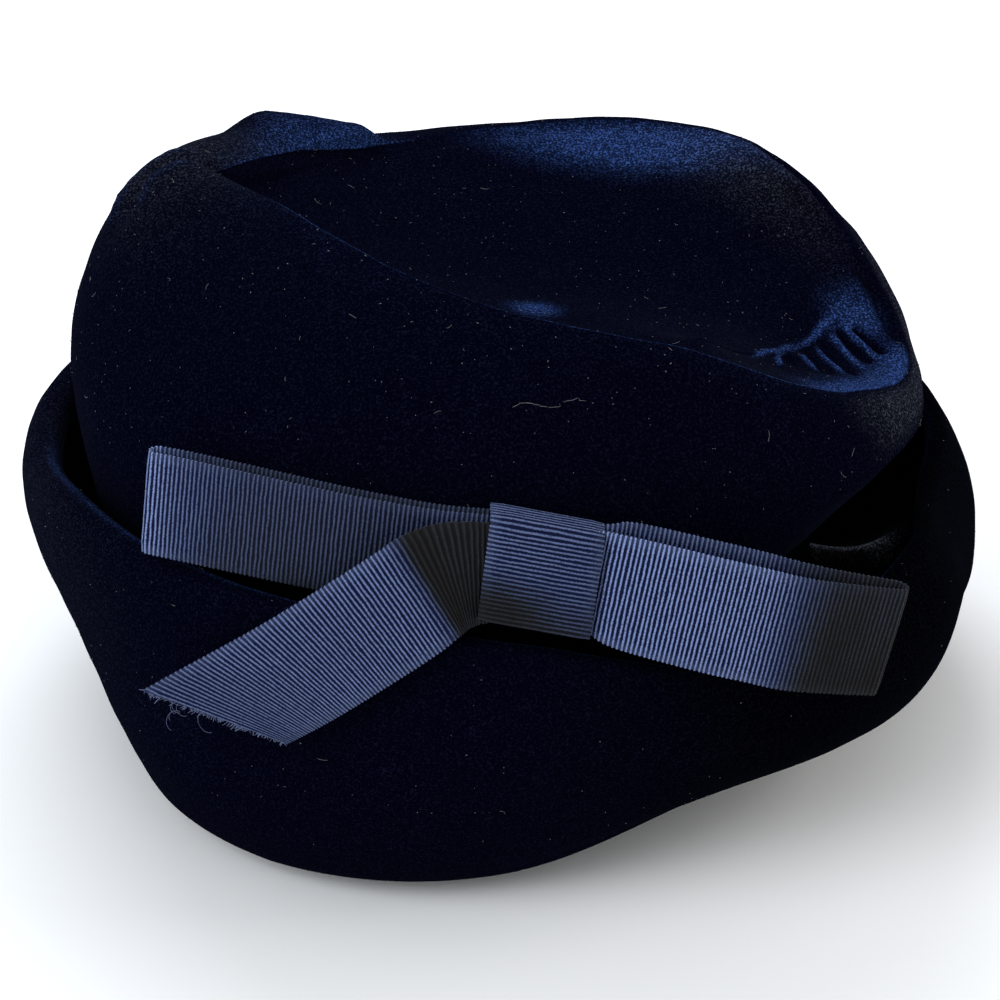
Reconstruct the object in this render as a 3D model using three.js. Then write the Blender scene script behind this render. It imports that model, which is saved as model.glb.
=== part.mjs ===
// A velvet hat: a soft draped crown that overhangs a turned-up brim, with a flat bow of ribbed
// ribbon at the front. Millimetres, +Z up, front (the bow) towards -Y, standing on the brim's foot.
import * as THREE from "three";

// Head opening, inside the crown's seam.
const HEAD_WIDTH = 166;
const HEAD_LENGTH = 178;

// Cloth: one layer of backed velvet in the crown, a doubled and stiffened layer in the brim.
const CROWN_CLOTH = 2.5;
const BRIM_CLOTH = 3.4;
const SEAM_GAP = 0.3;

// Brim: its widest outline, and the height that the column ridgeRise is a share of.
const BRIM_WIDTH = 246;
const BRIM_DEPTH = 236;
const BRIM_RISE = 85;
const BEAD_RADIUS = 4;
// Where the brim's curve bends: the rise of its low arm, less the more it flares, the rise and
// the reach of its high arm, and where its cloth starts to thicken towards the rounded ridge.
const BRIM_BEND = { low: 0.22, flared: 0.3, high: 0.62, reach: 1.1, bead: 0.55 };

// Crown: its height, the height of its neck, and the roll where the side folds over to the tip.
const CROWN_RISE = 145;
const NECK_RISE = 49;
const ROLL_RADIUS = 8;
const TUCK_DEPTH = 7;
const SEAM_RISE = 2;
// Where the crown's curve bends: the arms of its curves from the neck to the belly, and from the
// belly to the rim, as shares of the way.
const CROWN_BEND = { neckOut: 0.25, neckUp: 0.35, bellyDown: 0.45, bellyUp: 0.5, rimOut: 0.42 };

// Tip: the sunken top of the crown, which is fastened inside the rolled edge.
const TIP_RISE = 127;
const TIP_DIP = 16;
const TIP_SHIFT = 8;
const TIP_STEP = 1.5;
const TIP_GAP = 0.5;
const TIP_CURVE = 1.5;
const TIP_SHARES = [0.2, 0.4, 0.6, 0.75, 0.88, 1];

// Bow: ribbon, knot band, two flat loops and one tail with a slanted end.
const RIBBON_WIDTH = 25;
const RIBBON_CLOTH = 1;
const KNOT_WIDTH = 23;
const KNOT_HEIGHT = 27;
const KNOT_DEPTH = 10.4;
const KNOT_CORNER = 1.8;
const KNOT_LEAN = 6;
const BOW_SHIFT = 8.5;
const BOW_RISE = 93;
const LEFT_LOOP = 85;
const RIGHT_LOOP = 77;
const TAIL_LENGTH = 80;
const TAIL_SLANT = 22;
// Where round the brim, in degrees, the tail hangs over its ridge.
const TAIL_ANGLE = 248;
// The stretch of the crown's front, in degrees, that the knot rests against.
const KNOT_REACH = { from: 258, to: 290, step: 2 };

// Rows every 30 degrees, from the right (+X) by way of the back and the left to the front.
// Brim: foot, ridge and bulge are shares of the way from the head opening to the brim's outline,
// lift and ridgeRise of BRIM_RISE, bead of BEAD_RADIUS, and flare says how soon it turns up.
const BRIM_ROWS = table("foot flare lift ridge ridgeRise bulge bead", [
  [0.21, 0.55, 0.05, 0.60, 0.64, 0.53, 1.10],
  [0.22, 0.60, 0.00, 0.84, 0.70, 0.28, 0.75],
  [0.18, 0.60, 0.00, 0.79, 0.75, 0.21, 0.75],
  [0.19, 0.60, 0.00, 0.73, 0.77, 0.22, 0.75],
  [0.18, 0.60, 0.00, 0.79, 0.77, 0.21, 0.90],
  [0.19, 0.50, 0.00, 0.80, 0.78, 0.21, 1.10],
  [0.14, 0.35, 0.00, 0.76, 0.76, 0.16, 1.25],
  [0.22, 0.25, 0.00, 0.70, 0.91, 0.07, 1.00],
  [0.18, 0.35, 0.00, 0.67, 0.945, 0.12, 0.75],
  [0.10, 0.50, 0.00, 0.55, 0.87, 0.22, 0.55],
  [0.10, 0.50, 0.20, 0.67, 0.72, 0.21, 0.55],
  [0.12, 0.50, 0.26, 0.65, 0.79, 0.39, 0.65],
]);

// Crown: neck, belly and rim (the fold at the top) are shares of the half head opening,
// bellyRise and rimRise of CROWN_RISE, shoulder (how far the cloth swells over the fold) of the
// rise from belly to rim, and roll of ROLL_RADIUS.
const CROWN_ROWS = table("neck belly bellyRise rim rimRise shoulder roll", [
  [0.99, 1.245, 0.58, 1.190, 0.66, -0.14, 0.50],
  [1.00, 1.225, 0.60, 1.030, 0.84, -0.14, 0.40],
  [1.00, 1.145, 0.62, 0.890, 0.87, -0.10, 0.34],
  [1.01, 1.115, 0.64, 0.780, 0.88, -0.06, 0.34],
  [1.05, 1.145, 0.67, 0.700, 0.885, 0.12, 0.40],
  [1.11, 1.210, 0.71, 0.710, 0.940, 0.44, 0.60],
  [1.17, 1.222, 0.70, 0.800, 0.975, 0.00, 0.40],
  [1.14, 1.225, 0.68, 0.677, 0.98, -0.14, 0.34],
  [1.05, 1.118, 0.66, 0.641, 0.97, -0.14, 0.34],
  [1.01, 1.080, 0.64, 0.716, 0.93, -0.14, 0.34],
  [0.98, 1.104, 0.62, 0.873, 0.87, -0.14, 0.34],
  [0.98, 1.205, 0.60, 1.075, 0.725, -0.14, 0.40],
]);

// Creases that run down the crown's left shoulder from the end of the front fold.
// angle and width in degrees, depth as a share of CROWN_CLOTH, low and high along belly to rim,
// where the crease ends softly.
const PLEATS = table("angle width depth low high", [
  [186, 3.5, 0.9, 0.25, 0.95],
  [198, 3.5, 0.7, 0.45, 0.95],
]);
const PLEAT_ENDS = { low: 0.2, high: 0.1 };

// Gathers at the right of the tip: how far round they reach, their number, where they start on
// the way out to the edge, their height, and the share of their reach that fades out.
const GATHERS = { from: 306, to: 351, count: 6, inner: 0.7, height: 1.8, fade: 0.15 };

// Loops: rows from the knot to the fold. along and out (towards the back) are shares of the
// loop's length, rise, gap (half the hollow) and width of the ribbon's width, lean in degrees.
const LEFT_ROWS = table("along out rise gap width lean", [
  [0.080, 0.006, 0.02, 0.068, 0.90, 0],
  [0.150, 0.010, 0.03, 0.06, 0.92, 0],
  [0.280, 0.025, 0.06, 0.05, 0.99, 0],
  [0.500, 0.065, 0.12, 0.05, 1.00, 0],
  [0.760, 0.145, 0.18, 0.05, 1.00, 0],
  [0.975, 0.220, 0.20, 0.06, 1.00, 0],
]);
const RIGHT_ROWS = table("along out rise gap width lean", [
  [0.075, 0.003, -0.03, 0.08, 0.90, 0],
  [0.150, 0.000, -0.06, 0.09, 0.92, 2],
  [0.260, -0.010, -0.19, 0.13, 0.98, 5],
  [0.470, -0.008, -0.38, 0.13, 1.00, 6],
  [0.750, 0.008, -0.64, 0.11, 1.00, 6],
  [0.960, 0.045, -0.80, 0.07, 1.00, 4],
]);
// Tail: across (towards the left), out and rise are shares of its length from the knot, and over
// is how far it follows the place of the brim's ridge under it.
const TAIL_ROWS = table("across out over rise width lean", [
  [0.055, -0.032, 0.0, 0.00, 0.90, 0],
  [0.180, -0.049, 0.1, 0.015, 0.93, 0],
  [0.290, -0.089, 0.5, -0.015, 1.00, 6],
  [0.410, -0.127, 1.0, -0.10, 1.00, 12],
  [0.610, -0.107, 1.0, -0.255, 1.00, 18],
  [0.870, -0.057, 1.0, -0.455, 1.00, 20],
]);

// Degrees from one section to the next, round the hat.
const ROUND_STEP = 6;
const PLEAT_STEP = 3;
const GATHER_STEP = 2.5;

const VELVET = { color: 0x0a1030, roughness: 0.95, metalness: 0 };
const RIBBON = { color: 0x34405e, roughness: 0.75, metalness: 0 };

function table(columns, rows) {
  const names = columns.split(" ");
  return rows.map((row) => Object.fromEntries(names.map((name, k) => [name, row[k]])));
}

function mix(a, b, t) {
  return a + (b - a) * t;
}

function smooth(t) {
  const s = Math.min(1, Math.max(0, t));
  return s * s * (3 - 2 * s);
}

function bezier(a, b, c, d, t) {
  const s = 1 - t;
  return a * s ** 3 + 3 * b * t * s * s + 3 * c * t * t * s + d * t ** 3;
}

function catmullRom(a, b, c, d, t) {
  return 0.5 * (2 * b + (c - a) * t + (2 * a - 5 * b + 4 * c - d) * t * t + (3 * b - a - 3 * c + d) * t ** 3);
}

// A column of a table that goes round the hat, at an angle in degrees, on a smooth curve.
function around(rows, name, angle) {
  const count = rows.length;
  const spot = (((angle % 360) + 360) % 360) / (360 / count);
  const k = Math.floor(spot);
  const value = (i) => rows[(i + count) % count][name];
  return catmullRom(value(k - 1), value(k), value(k + 1), value(k + 2), spot - k);
}

// A column of an open table at a place from 0 (first row) to 1 (last row).
function along(rows, name, place) {
  const s = place * (rows.length - 1);
  const k = Math.min(Math.floor(s), rows.length - 2);
  const inside = (i) => rows[i][name];
  const before = k > 0 ? inside(k - 1) : 2 * inside(0) - inside(1);
  const after = k < rows.length - 2 ? inside(k + 2) : 2 * inside(k + 1) - inside(k);
  return catmullRom(before, inside(k), inside(k + 1), after, s - k);
}

function halfOval(width, depth, angle) {
  const turn = THREE.MathUtils.degToRad(angle);
  return Math.hypot((width / 2) * Math.cos(turn), (depth / 2) * Math.sin(turn));
}

// A point at a distance r from the axis, in the direction of the brim's oval at that angle.
function place(angle, r, z) {
  const turn = THREE.MathUtils.degToRad(angle);
  const share = r / halfOval(BRIM_WIDTH, BRIM_DEPTH, angle);
  const x = share * (BRIM_WIDTH / 2) * Math.cos(turn);
  return new THREE.Vector3(x, share * (BRIM_DEPTH / 2) * Math.sin(turn), z);
}

// Unit normals of a line of [r, z] points, to the right of its direction.
function normals(line) {
  return line.map((point, k) => {
    const [a, b] = [line[Math.max(k - 1, 0)], line[Math.min(k + 1, line.length - 1)]];
    const [dr, dz] = [b[0] - a[0], b[1] - a[1]];
    const size = Math.hypot(dr, dz);
    return [dz / size, -dr / size];
  });
}

function offset(line, side, distances) {
  return line.map(([r, z], k) => [r + side[k][0] * distances[k], z + side[k][1] * distances[k]]);
}

// Steps round the hat: coarse, finer where the pleats are, finest at the gathers.
function anglesRound() {
  const list = [];
  let angle = 0;
  while (angle < 360) {
    list.push(angle);
    const inGathers = angle >= GATHERS.from && angle < GATHERS.to;
    const inPleats = PLEATS.some((pleat) => Math.abs(angle + 1 - pleat.angle) < 2 * pleat.width);
    angle += inGathers ? GATHER_STEP : inPleats ? PLEAT_STEP : ROUND_STEP;
  }
  return list;
}

// A closed body from equal closed sections, one for each angle, joined in a ring.
function ringBody(sections) {
  const count = sections.length;
  const size = sections[0].length;
  const index = [];
  for (let i = 0; i < count; i += 1) {
    const next = (i + 1) % count;
    for (let j = 0; j < size; j += 1) {
      const up = (j + 1) % size;
      const [a, b] = [i * size + j, next * size + j];
      const [c, d] = [next * size + up, i * size + up];
      index.push(a, b, c, a, c, d);
    }
  }
  return geometry(sections.flat(), index);
}

function geometry(points, index) {
  const shape = new THREE.BufferGeometry();
  shape.setAttribute("position", new THREE.Float32BufferAttribute(points.flatMap((p) => [p.x, p.y, p.z]), 3));
  shape.setIndex(index);
  shape.computeVertexNormals();
  return shape;
}

// Section sizes of the brim and the crown at one angle.
function sectionAt(angle) {
  const head = halfOval(HEAD_WIDTH, HEAD_LENGTH, angle);
  const opening = head + CROWN_CLOTH + SEAM_GAP;
  const way = halfOval(BRIM_WIDTH, BRIM_DEPTH, angle) - opening;
  const lift = Math.max(0, around(BRIM_ROWS, "lift", angle)) * BRIM_RISE;
  return { head, opening, way, lift };
}

// Brim: from the flat foot round the head opening, out and up to a rounded ridge, and back
// down inside to the gutter that the crown rises from.
function brimSection(angle) {
  const { opening, way, lift } = sectionAt(angle);
  const foot = opening + around(BRIM_ROWS, "foot", angle) * way;
  const ridge = opening + around(BRIM_ROWS, "ridge", angle) * way;
  const ridgeZ = around(BRIM_ROWS, "ridgeRise", angle) * BRIM_RISE;
  const bulge = around(BRIM_ROWS, "bulge", angle) * way;
  const flare = around(BRIM_ROWS, "flare", angle);
  const bead = around(BRIM_ROWS, "bead", angle) * BEAD_RADIUS;
  const low = lift + BRIM_CLOTH / 2;
  const lowArm = low + (BRIM_BEND.low - BRIM_BEND.flared * flare) * (ridgeZ - lift);
  const steps = 8;
  const line = [];
  const half = [];
  for (let k = 0; k <= steps; k += 1) {
    const t = k / steps;
    const r = bezier(foot, foot + flare * (ridge - foot) + bulge, ridge + bulge * BRIM_BEND.reach, ridge, t);
    line.push([r, bezier(low, lowArm, mix(lift, ridgeZ, BRIM_BEND.high), ridgeZ, t)]);
    half.push(mix(BRIM_CLOTH / 2, bead, smooth((t - BRIM_BEND.bead) / (1 - BRIM_BEND.bead))));
  }
  const side = normals(line);
  const outer = offset(line, side, half).map(([r, z]) => [r, Math.max(z, lift)]);
  const inner = offset(line, side, half.map((h) => -h)).map(([r, z]) => [r, Math.max(z, lift + BRIM_CLOTH)]);
  outer[0] = [foot, lift];
  const [endR, endZ] = line[steps];
  const [outR, outZ] = side[steps];
  const bow = [0.25, 0.5, 0.75].map((share) => {
    const turn = share * Math.PI;
    const [c, s] = [Math.cos(turn) * bead, Math.sin(turn) * bead];
    return [endR + outR * c - outZ * s, endZ + outZ * c + outR * s];
  });
  return [[opening, lift], ...outer, ...bow, ...inner.reverse(), [opening, lift + BRIM_CLOTH]];
}

function brim() {
  const sections = [];
  for (let angle = 0; angle < 360; angle += ROUND_STEP) {
    sections.push(brimSection(angle).map(([r, z]) => place(angle, r, z)));
  }
  return ringBody(sections);
}

function pleatDepth(angle, height) {
  return PLEATS.reduce((sum, { angle: middle, width, depth, low, high }) => {
    const across = Math.exp(-(((angle - middle) / width) ** 2));
    const down = smooth((height - low) / PLEAT_ENDS.low) * smooth((high - height) / PLEAT_ENDS.high);
    return sum + depth * CROWN_CLOTH * across * down;
  }, 0);
}

// Middle line of the crown's wall: the seam in the head opening, the neck, the belly that
// overhangs, the folded edge, and the end that is tucked in under it.
function crownLine(angle) {
  const { head, lift } = sectionAt(angle);
  const seam = head + CROWN_CLOTH / 2;
  const free = lift + BRIM_CLOTH + SEAM_RISE;
  const [neck, belly, rim] = ["neck", "belly", "rim"].map((name) => head * around(CROWN_ROWS, name, angle));
  const bellyZ = around(CROWN_ROWS, "bellyRise", angle) * CROWN_RISE;
  const rimZ = around(CROWN_ROWS, "rimRise", angle) * CROWN_RISE;
  const roll = around(CROWN_ROWS, "roll", angle) * ROLL_RADIUS;
  const line = [[seam, lift + 2 * SEAM_GAP], [seam, free], [mix(seam, neck, 0.5), mix(free, NECK_RISE, 0.5)]];
  const { neckOut, neckUp, bellyDown, bellyUp, rimOut } = CROWN_BEND;
  for (let k = 0; k < 4; k += 1) {
    const t = k / 4;
    const z = bezier(NECK_RISE, mix(NECK_RISE, bellyZ, neckUp), mix(bellyZ, NECK_RISE, bellyDown), bellyZ, t);
    line.push([bezier(neck, mix(neck, belly, neckOut), belly, belly, t), z]);
  }
  const arm = [mix(rim, belly, rimOut), rimZ + around(CROWN_ROWS, "shoulder", angle) * (rimZ - bellyZ)];
  for (let k = 0; k <= 6; k += 1) {
    const t = k / 6;
    const dent = pleatDepth(angle, t);
    const r = bezier(belly, belly, arm[0], rim, t) - dent;
    line.push([r, bezier(bellyZ, mix(bellyZ, rimZ, bellyUp), arm[1], rimZ, t) - dent / 2]);
  }
  const start = (Math.atan2(rimZ - arm[1], rim - arm[0]) + 2 * Math.PI) % (2 * Math.PI);
  const middle = [rim - Math.sin(start) * roll, rimZ + Math.cos(start) * roll];
  for (let k = 1; k <= 4; k += 1) {
    const turn = mix(start, 1.5 * Math.PI, k / 4);
    line.push([middle[0] + Math.sin(turn) * roll, middle[1] - Math.cos(turn) * roll]);
  }
  const end = line[line.length - 1];
  line.push([end[0], end[1] - TUCK_DEPTH]);
  return line;
}

function crownSide() {
  const sections = anglesRound().map((angle) => {
    const line = crownLine(angle);
    const side = normals(line);
    const half = line.map(() => CROWN_CLOTH / 2);
    const inner = offset(line, side, half.map((h) => -h)).reverse();
    return [...offset(line, side, half), ...inner].map(([r, z]) => place(angle, r, z));
  });
  return ringBody(sections);
}

// Height of the gathers at an angle and a share of the way from the tip's middle to its edge.
function gather(angle, share) {
  const turn = (angle - GATHERS.from) / (GATHERS.to - GATHERS.from);
  if (turn <= 0 || turn >= 1) return 0;
  const ends = smooth(turn / GATHERS.fade) * smooth((1 - turn) / GATHERS.fade);
  const wave = Math.cos(2 * Math.PI * GATHERS.count * turn);
  return GATHERS.height * wave * ends * smooth((share - GATHERS.inner) / GATHERS.fade);
}

// Tip: a sheet that dips from its edge inside the roll to its middle.
function crownTip() {
  const angles = anglesRound();
  const middle = new THREE.Vector3(TIP_SHIFT, 0, TIP_RISE - TIP_DIP);
  const top = [middle];
  for (const angle of angles) {
    const line = crownLine(angle);
    const [tuckR, tuckZ] = line[line.length - 2];
    const edge = place(angle, tuckR - CROWN_CLOTH / 2 - TIP_GAP, tuckZ - TIP_STEP);
    for (const share of TIP_SHARES) {
      const point = middle.clone().lerp(edge, share);
      point.z = mix(middle.z, edge.z, share ** TIP_CURVE) + gather(angle, share);
      top.push(point);
    }
  }
  const under = top.map((p) => new THREE.Vector3(p.x, p.y, p.z - CROWN_CLOTH));
  const [rings, shift] = [TIP_SHARES.length, top.length];
  const at = (i, k) => 1 + (i % angles.length) * rings + k;
  const index = [];
  for (let i = 0; i < angles.length; i += 1) {
    index.push(0, at(i, 0), at(i + 1, 0));
    index.push(shift, shift + at(i + 1, 0), shift + at(i, 0));
    for (let k = 0; k + 1 < rings; k += 1) {
      const [a, b, c, d] = [at(i, k), at(i, k + 1), at(i + 1, k + 1), at(i + 1, k)];
      index.push(a, b, c, a, c, d);
      index.push(shift + a, shift + c, shift + b, shift + a, shift + d, shift + c);
    }
    const [a, b] = [at(i, rings - 1), at(i + 1, rings - 1)];
    index.push(shift + a, shift + b, b, shift + a, b, a);
  }
  return geometry([...top, ...under], index);
}

// The direction of a ribbon's width where it runs towards ahead: upright, but leaning back.
function upright(ahead, lean) {
  const turn = THREE.MathUtils.degToRad(lean);
  const up = new THREE.Vector3(0, Math.sin(turn), Math.cos(turn));
  return up.addScaledVector(ahead, -up.dot(ahead)).normalize();
}

// A flat ribbon along a path of { point, up, width }, where slant makes the far end longer at
// the top edge than at the bottom edge.
function ribbonBody(path, slant = 0) {
  const points = [];
  path.forEach(({ point, up, width }, k) => {
    const before = path[Math.max(k - 1, 0)].point;
    const after = path[Math.min(k + 1, path.length - 1)].point;
    const ahead = after.clone().sub(before).normalize();
    const face = up.clone().cross(ahead).normalize();
    const drift = slant * (k / (path.length - 1)) ** 3;
    for (const [n, w] of [[-0.5, -0.5], [0.5, -0.5], [0.5, 0.5], [-0.5, 0.5]]) {
      const corner = point.clone().addScaledVector(face, n * RIBBON_CLOTH);
      corner.addScaledVector(up, w * width * RIBBON_WIDTH).addScaledVector(ahead, w * drift);
      points.push(corner);
    }
  });
  const index = [0, 2, 1, 0, 3, 2];
  for (let k = 0; k + 1 < path.length; k += 1) {
    for (let j = 0; j < 4; j += 1) {
      const [a, b] = [4 * k + j, 4 * k + ((j + 1) % 4)];
      index.push(...(j === 3 ? [a, b, a + 4, b, b + 4, a + 4] : [a, b, b + 4, a, b + 4, a + 4]));
    }
  }
  const last = 4 * (path.length - 1);
  index.push(last, last + 1, last + 2, last, last + 2, last + 3);
  return geometry(points, index);
}

// The front of the crown's wall where the bow sits, so that the knot rests against it.
function crownFront() {
  const reach = [];
  for (let angle = KNOT_REACH.from; angle <= KNOT_REACH.to; angle += KNOT_REACH.step) {
    const line = crownLine(angle);
    const side = normals(line);
    const outer = offset(line, side, line.map(() => CROWN_CLOTH / 2));
    outer.forEach(([r, z]) => reach.push(place(angle, r, z).y));
  }
  return Math.min(...reach);
}

const knotMiddle = new THREE.Vector3(BOW_SHIFT, crownFront() - SEAM_GAP - KNOT_DEPTH / 2, BOW_RISE);

// Places along the middle of a ribbon piece, evenly through its rows: point, the way ahead and up.
function stations(rows, steps, shiftAt) {
  const at = (t) => knotMiddle.clone().add(shiftAt((name) => along(rows, name, t)));
  return Array.from({ length: steps + 1 }, (unused, k) => {
    const t = k / steps;
    const ahead = at(Math.min(1, t + 0.02)).sub(at(Math.max(0, t - 0.02))).normalize();
    const up = upright(ahead, along(rows, "lean", t));
    return { point: at(t), ahead, up, width: along(rows, "width", t), t };
  });
}

// A loop: the back layer out from the knot, round the fold, and the front layer back again.
// side is -1 for the loop that goes left and 1 for the loop that goes right.
function loop(rows, length, side) {
  const spine = stations(rows, 10, (row) => {
    return new THREE.Vector3(side * row("along") * length, row("out") * length, row("rise") * RIBBON_WIDTH);
  });
  const apart = ({ up, ahead }) => up.clone().cross(ahead).multiplyScalar(side);
  const layer = (sign) => spine.map((station) => {
    const gap = along(rows, "gap", station.t) * RIBBON_WIDTH;
    return { ...station, point: station.point.clone().addScaledVector(apart(station), sign * gap) };
  });
  const end = spine[spine.length - 1];
  const radius = along(rows, "gap", 1) * RIBBON_WIDTH;
  const fold = [36, 72, 108, 144].map((degrees) => {
    const turn = THREE.MathUtils.degToRad(degrees);
    const point = end.point.clone().addScaledVector(end.ahead, radius * Math.sin(turn));
    return { ...end, point: point.addScaledVector(apart(end), radius * Math.cos(turn)) };
  });
  return ribbonBody([...layer(1), ...fold, ...layer(-1).reverse()]);
}

function tail() {
  const { opening, way } = sectionAt(TAIL_ANGLE);
  const ridge = place(TAIL_ANGLE, opening + around(BRIM_ROWS, "ridge", TAIL_ANGLE) * way, 0);
  const path = stations(TAIL_ROWS, 18, (row) => {
    const point = new THREE.Vector3(-row("across"), row("out"), row("rise")).multiplyScalar(TAIL_LENGTH);
    return point.setY(point.y + row("over") * (ridge.y - knotMiddle.y));
  });
  return ribbonBody(path, TAIL_SLANT);
}

// The knot: a band of ribbon wrapped round the inner ends of the loops and the tail, with
// rounded corners and the lower right tilt that its pull gives it.
function knot() {
  const corners = [[1, 1, 0], [-1, 1, 90], [-1, -1, 180], [1, -1, 270]];
  const ring = (inset) => corners.flatMap(([sideY, sideZ, from]) => [0, 30, 60, 90].map((more) => {
    const turn = THREE.MathUtils.degToRad(from + more);
    const y = sideY * (KNOT_DEPTH / 2 - KNOT_CORNER) + Math.cos(turn) * (KNOT_CORNER - inset);
    return [y, sideZ * (KNOT_HEIGHT / 2 - KNOT_CORNER) + Math.sin(turn) * (KNOT_CORNER - inset)];
  }));
  const [outer, inner] = [ring(0), ring(RIBBON_CLOTH)];
  const tilt = THREE.MathUtils.degToRad(KNOT_LEAN);
  const sections = outer.map(([y, z], k) => {
    const [innerY, innerZ] = inner[k];
    return [[-0.5, y, z], [0.5, y, z], [0.5, innerY, innerZ], [-0.5, innerY, innerZ]].map(([side, dy, dz]) => {
      const flat = new THREE.Vector3(side * KNOT_WIDTH, dy, dz);
      return flat.applyAxisAngle(new THREE.Vector3(0, 1, 0), tilt).add(knotMiddle);
    });
  });
  return ringBody(sections);
}

function piece(name, shape, finish) {
  const mesh = new THREE.Mesh(shape, new THREE.MeshStandardMaterial(finish));
  mesh.name = name;
  return mesh;
}

const hat = new THREE.Group();
hat.add(piece("brim", brim(), VELVET));
hat.add(piece("crown_side", crownSide(), VELVET));
hat.add(piece("crown_tip", crownTip(), VELVET));
hat.add(piece("bow_loop_left", loop(LEFT_ROWS, LEFT_LOOP, -1), RIBBON));
hat.add(piece("bow_loop_right", loop(RIGHT_ROWS, RIGHT_LOOP, 1), RIBBON));
hat.add(piece("bow_tail", tail(), RIBBON));
hat.add(piece("bow_knot", knot(), RIBBON));

// The origin is under the middle of the whole hat, on the surface that it stands on.
const box = new THREE.Box3().setFromObject(hat);
const centre = box.getCenter(new THREE.Vector3());
hat.position.set(-centre.x, -centre.y, -box.min.z);

export default hat;
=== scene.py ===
import math
import bpy
import numpy as np
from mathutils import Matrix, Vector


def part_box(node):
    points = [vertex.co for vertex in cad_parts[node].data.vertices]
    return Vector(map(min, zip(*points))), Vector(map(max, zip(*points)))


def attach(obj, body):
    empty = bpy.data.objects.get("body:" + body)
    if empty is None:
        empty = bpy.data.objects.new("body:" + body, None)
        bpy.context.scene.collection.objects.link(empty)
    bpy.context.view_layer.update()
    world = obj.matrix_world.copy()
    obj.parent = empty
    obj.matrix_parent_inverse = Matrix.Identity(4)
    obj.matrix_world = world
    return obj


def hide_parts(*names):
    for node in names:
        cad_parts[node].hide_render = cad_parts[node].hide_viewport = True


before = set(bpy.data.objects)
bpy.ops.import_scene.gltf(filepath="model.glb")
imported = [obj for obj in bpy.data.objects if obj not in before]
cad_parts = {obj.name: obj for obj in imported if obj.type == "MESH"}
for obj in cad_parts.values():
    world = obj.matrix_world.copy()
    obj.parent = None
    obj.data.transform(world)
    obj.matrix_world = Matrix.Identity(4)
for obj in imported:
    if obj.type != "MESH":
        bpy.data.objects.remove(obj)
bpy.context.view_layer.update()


# Floor, light and camera: the hat stands on a plain pale floor under soft studio light, and the
# camera looks from the front, 0.64 m away and 29 degrees above the level.
class Wire:
    """A value in a material: sums on it add the nodes that work them out."""

    def __init__(self, finish, socket):
        self.finish = finish
        self.socket = socket

    def maths(self, operation, first, second):
        return self.finish.node("Math", {"operation": operation}, {0: first, 1: second})

    def __add__(self, other):
        return self.maths("ADD", self, other)

    def __sub__(self, other):
        return self.maths("SUBTRACT", self, other)

    def __mul__(self, other):
        return self.maths("MULTIPLY", self, other)

    def __pow__(self, other):
        return self.maths("POWER", self, other)

    def __rsub__(self, other):
        return self.maths("SUBTRACT", other, self)

    __radd__ = __add__
    __rmul__ = __mul__


class Finish:
    """A material that is put together node by node round one Principled shader."""

    def __init__(self, name, **constants):
        self.material = bpy.data.materials.new(name)
        self.material.use_nodes = True
        self.tree = self.material.node_tree
        self.shader = self.tree.nodes["Principled BSDF"]
        self.set(**constants)

    def node(self, kind, settings=None, sockets=None, output=0):
        node = self.tree.nodes.new("ShaderNode" + kind)
        for name, value in (settings or {}).items():
            setattr(node, name, value)
        for name, value in (sockets or {}).items():
            self.put(node.inputs[name], value)
        return Wire(self, node.outputs[output])

    def put(self, socket, value):
        if isinstance(value, Wire):
            self.tree.links.new(value.socket, socket)
        else:
            socket.default_value = value

    def set(self, **values):
        for name, value in values.items():
            self.put(self.shader.inputs[name.replace("_", " ")], value)

    def noise(self, scale, detail=2.0):
        where = self.node("TexCoord", output="Object")
        return self.node("TexNoise", {}, {"Vector": where, "Scale": scale, "Detail": detail})

    def steps(self, value, low, high):
        ends = {"Value": value, "From Min": low, "From Max": high}
        return self.node("MapRange", {"interpolation_type": "SMOOTHSTEP"}, ends)

    def painted(self, name):
        return self.node("Attribute", {"attribute_name": name}, output="Fac")

    def blend(self, share, first, second):
        colours = {0: share, 6: first, 7: second}
        return self.node("Mix", {"data_type": "RGBA"}, colours, output=2)

    def bump(self, height, distance, strength):
        sockets = {"Height": height, "Distance": distance, "Strength": strength}
        return self.node("Bump", {}, sockets)


def softbox(name, place, size, power, colour):
    lamp = bpy.data.lights.new(name, "AREA")
    lamp.shape = "RECTANGLE"
    lamp.size, lamp.size_y = size
    lamp.energy = power
    lamp.color = colour
    box = bpy.data.objects.new(name, lamp)
    box.location = place
    away = box.location - bpy.data.objects["camera_aim"].location
    box.rotation_euler = away.to_track_quat("Z", "Y").to_euler()
    bpy.context.collection.objects.link(box)


CAMERA_DISTANCE = 0.64
CAMERA_RISE = math.radians(29)
SENSOR_WIDTH, LENS = 36, 90.7
AIM = (-0.0012, -0.0001, 0.052)
aim = bpy.data.objects.new("camera_aim", None)
aim.location = AIM
bpy.context.collection.objects.link(aim)
camera = bpy.data.objects.new("camera", bpy.data.cameras.new("camera"))
camera.data.sensor_width = SENSOR_WIDTH
camera.data.lens = LENS
camera.data.clip_start = 0.01
camera.location = (
    AIM[0],
    AIM[1] - CAMERA_DISTANCE * math.cos(CAMERA_RISE),
    AIM[2] + CAMERA_DISTANCE * math.sin(CAMERA_RISE),
)
camera.rotation_euler = (math.pi / 2 - CAMERA_RISE, 0, 0)
bpy.context.collection.objects.link(camera)
bpy.context.scene.camera = camera

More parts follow.
